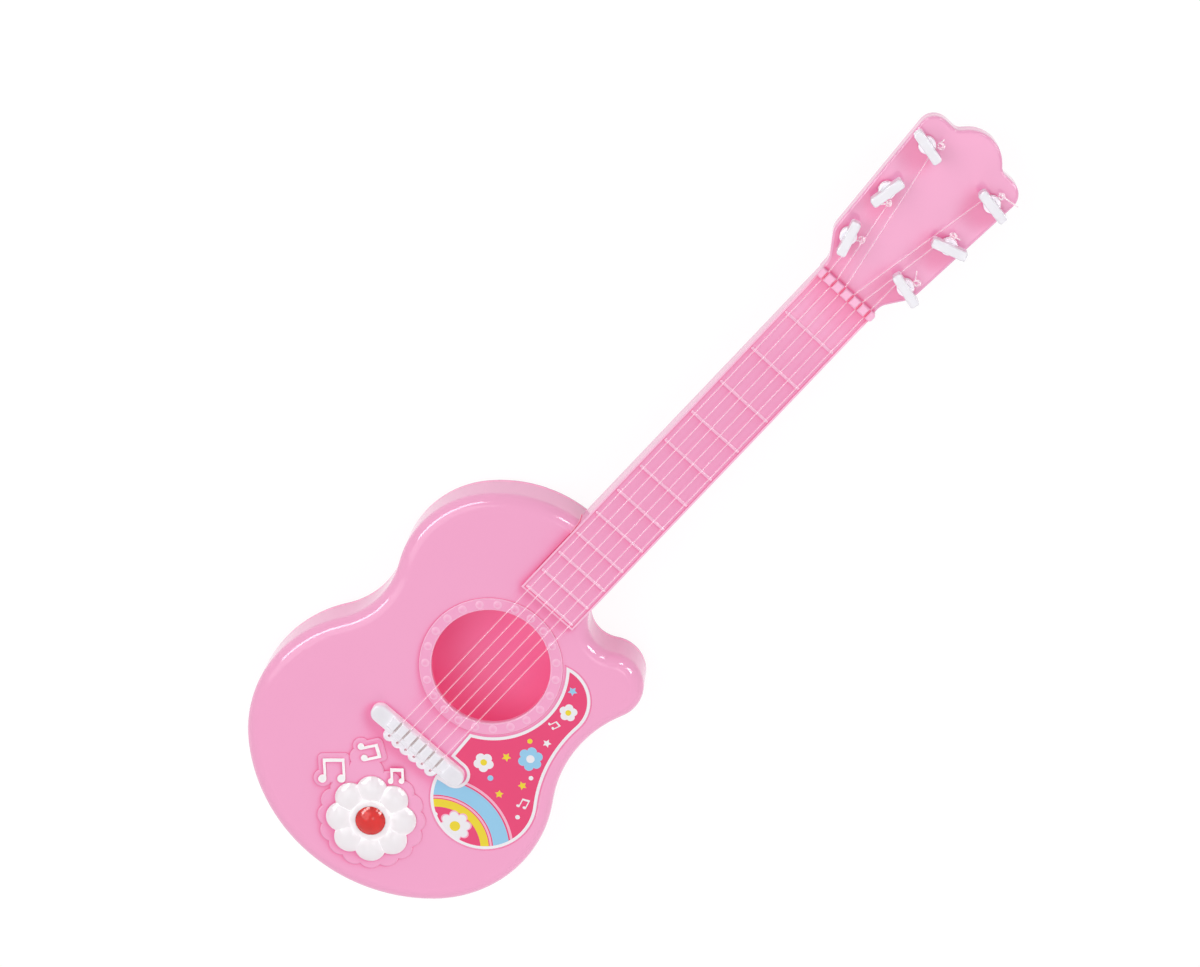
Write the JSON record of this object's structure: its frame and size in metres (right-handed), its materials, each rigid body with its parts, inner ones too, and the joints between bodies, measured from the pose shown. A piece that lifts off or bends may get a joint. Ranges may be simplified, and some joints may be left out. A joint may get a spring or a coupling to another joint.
{
  "type": "toy guitar",
  "caption": "Toy acoustic guitar with a cutaway body, open sound hole, nylon strings over a bridge and nut, fretted neck and turning pegs.",
  "frame": {"origin": "on the flat back of the body, below the centre of the sound hole", "axes": "+X across the strings to the cutaway side, +Y along the neck to the headstock, +Z out of the face"},
  "size_m": [0.1646, 0.4995, 0.0453],
  "materials": {
    "body_plastic": "satin pink moulding",
    "neck_plastic": "satin pink moulding",
    "bridge_plastic": "glossy white",
    "peg_plastic": "glossy white",
    "emblem_white": "glossy white relief",
    "emblem_red": "glossy red",
    "note_white": "glossy white",
    "sticker_print": "glossy printed film, magenta ground with a white border",
    "nylon": "translucent nylon line",
    "screw_steel": "zinc-plated steel"
  },
  "bodies": {
    "guitar": {"body_front": "body_plastic", "body_back": "body_plastic", "neck_front": "neck_plastic", "neck_back": "neck_plastic", "bridge": "bridge_plastic", "emblem_flower": "emblem_white", "emblem_centre": "emblem_red", "music_notes": "note_white", "pickguard_sticker": "sticker_print", "string_1": "nylon", "string_2": "nylon", "string_3": "nylon", "string_4": "nylon", "string_5": "nylon", "string_6": "nylon", "string_knots": "nylon", "body_screws": "screw_steel", "neck_screws": "screw_steel", "neck_joint_screws": "screw_steel", "bridge_screws": "screw_steel"},
    "tuner_1": {"peg_1": "peg_plastic", "winding_1": "nylon", "peg_screw_1": "screw_steel"},
    "tuner_2": {"peg_2": "peg_plastic", "winding_2": "nylon", "peg_screw_2": "screw_steel"},
    "tuner_3": {"peg_3": "peg_plastic", "winding_3": "nylon", "peg_screw_3": "screw_steel"},
    "tuner_4": {"peg_4": "peg_plastic", "winding_4": "nylon", "peg_screw_4": "screw_steel"},
    "tuner_5": {"peg_5": "peg_plastic", "winding_5": "nylon", "peg_screw_5": "screw_steel"},
    "tuner_6": {"peg_6": "peg_plastic", "winding_6": "nylon", "peg_screw_6": "screw_steel"}
  },
  "joints": [
    {"name": "tuner_1_turn", "type": "hinge", "parent": "guitar", "child": "tuner_1", "pos_m": [-0.0184, 0.2793, 0.0348], "axis": [0, 0, 1], "continuous": true},
    {"name": "tuner_2_turn", "type": "hinge", "parent": "guitar", "child": "tuner_2", "pos_m": [-0.0199, 0.3075, 0.0348], "axis": [0, 0, 1], "continuous": true},
    {"name": "tuner_3_turn", "type": "hinge", "parent": "guitar", "child": "tuner_3", "pos_m": [-0.0208, 0.3357, 0.0348], "axis": [0, 0, 1], "continuous": true},
    {"name": "tuner_4_turn", "type": "hinge", "parent": "guitar", "child": "tuner_4", "pos_m": [0.0208, 0.3357, 0.0348], "axis": [0, 0, 1], "continuous": true},
    {"name": "tuner_5_turn", "type": "hinge", "parent": "guitar", "child": "tuner_5", "pos_m": [0.0199, 0.3075, 0.0348], "axis": [0, 0, 1], "continuous": true},
    {"name": "tuner_6_turn", "type": "hinge", "parent": "guitar", "child": "tuner_6", "pos_m": [0.0184, 0.2793, 0.0348], "axis": [0, 0, 1], "continuous": true}
  ]
}
